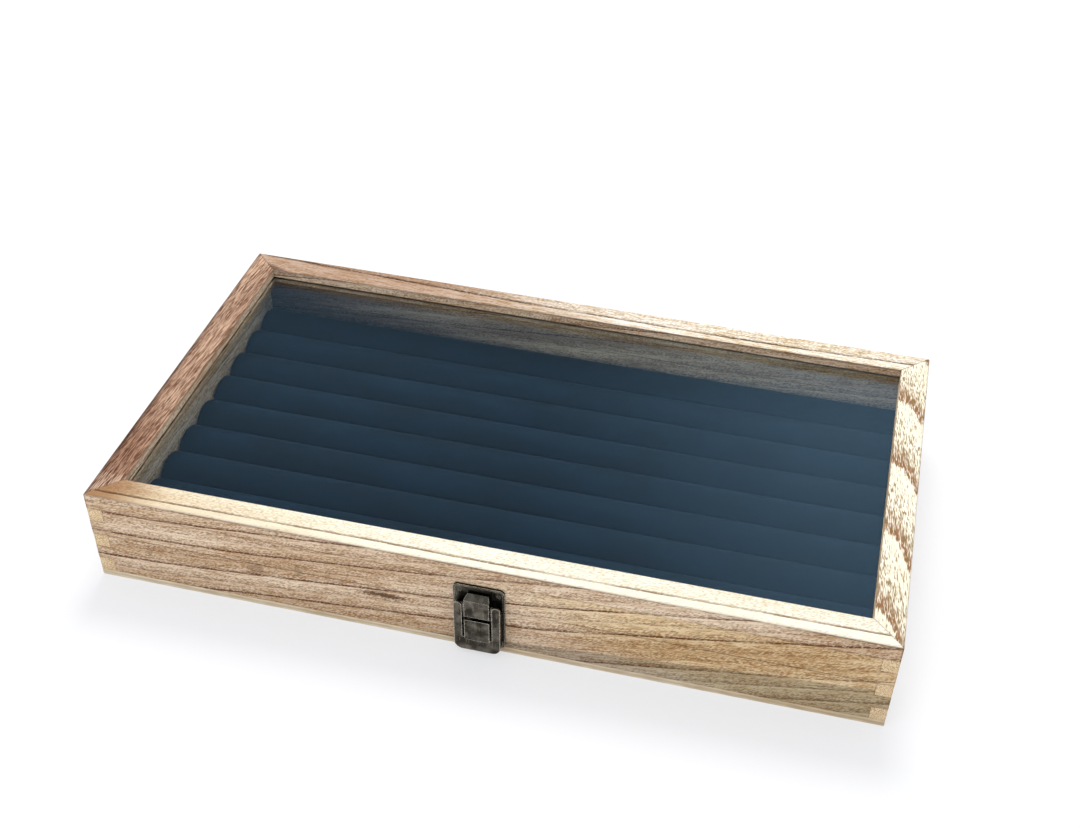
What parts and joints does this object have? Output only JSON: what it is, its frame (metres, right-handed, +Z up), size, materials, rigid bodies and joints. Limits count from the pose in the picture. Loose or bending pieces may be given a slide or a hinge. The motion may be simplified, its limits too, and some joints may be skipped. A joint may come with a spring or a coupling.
{
  "type": "ring display box",
  "caption": "Low finger-jointed wooden ring display box with a framed glass lid, padded velvet ring rolls, back hinges and a front toggle latch.",
  "frame": {"origin": "centre of the underside of the bottom panel", "axes": "+X along the length, to the right seen from the front; +Y from the latch to the hinges; +Z up"},
  "size_m": [0.375, 0.2193, 0.052],
  "materials": {
    "board_wood": "planed and torched softwood, matt",
    "frame_wood": "planed and torched softwood, matt",
    "plywood": "three-ply, sanded",
    "insert_board": "fibreboard covered with velvet",
    "velvet": "navy velvet over foam",
    "glass": "clear float glass",
    "antique_bronze": "antique bronze plate, worn bright at the edges",
    "screw_metal": "antique bronze plate"
  },
  "bodies": {
    "base": {"bottom_panel": "plywood", "base_front_board": "board_wood", "base_back_board": "board_wood", "base_left_board": "board_wood", "base_right_board": "board_wood", "insert_board": "insert_board", "foam_roll_1": "velvet", "foam_roll_2": "velvet", "foam_roll_3": "velvet", "foam_roll_4": "velvet", "foam_roll_5": "velvet", "foam_roll_6": "velvet", "foam_roll_7": "velvet", "foam_roll_8": "velvet", "foam_roll_9": "velvet", "hinge_left_base_leaf": "antique_bronze", "hinge_right_base_leaf": "antique_bronze", "hinge_left_pin": "screw_metal", "hinge_right_pin": "screw_metal", "hinge_base_screws": "screw_metal", "latch_base_plate": "antique_bronze", "latch_base_screws": "screw_metal", "latch_rivets": "screw_metal"},
    "lid": {"lid_front_board": "board_wood", "lid_back_board": "board_wood", "lid_left_board": "board_wood", "lid_right_board": "board_wood", "top_frame_front": "frame_wood", "top_frame_back": "frame_wood", "top_frame_left": "frame_wood", "top_frame_right": "frame_wood", "glass_pane": "glass", "hinge_left_lid_leaf": "antique_bronze", "hinge_right_lid_leaf": "antique_bronze", "hinge_lid_screws": "screw_metal", "latch_catch_plate": "antique_bronze", "latch_catch_screws": "screw_metal"},
    "latch_lever": {"latch_lever": "antique_bronze"},
    "pull_hook": {"latch_pull_hook": "antique_bronze", "latch_hook_pin": "screw_metal"}
  },
  "joints": [
    {"name": "lid_hinge", "type": "hinge", "parent": "base", "child": "lid", "pos_m": [0, 0.107, 0.0271], "axis": [-1, 0, 0], "range_deg": [0, 180]},
    {"name": "lever_pivot", "type": "hinge", "parent": "base", "child": "latch_lever", "pos_m": [0.0013, -0.10865, 0.0312], "axis": [-1, 0, 0], "range_deg": [0, 90]},
    {"name": "hook_pivot", "type": "hinge", "parent": "latch_lever", "child": "pull_hook", "pos_m": [0.0013, -0.1082, 0.0242], "axis": [-1, 0, 0], "range_deg": [-52, 0]}
  ],
  "couplings": [
    {"joint": "hook_pivot", "follows": "lever_pivot", "ratio": -0.56}
  ]
}
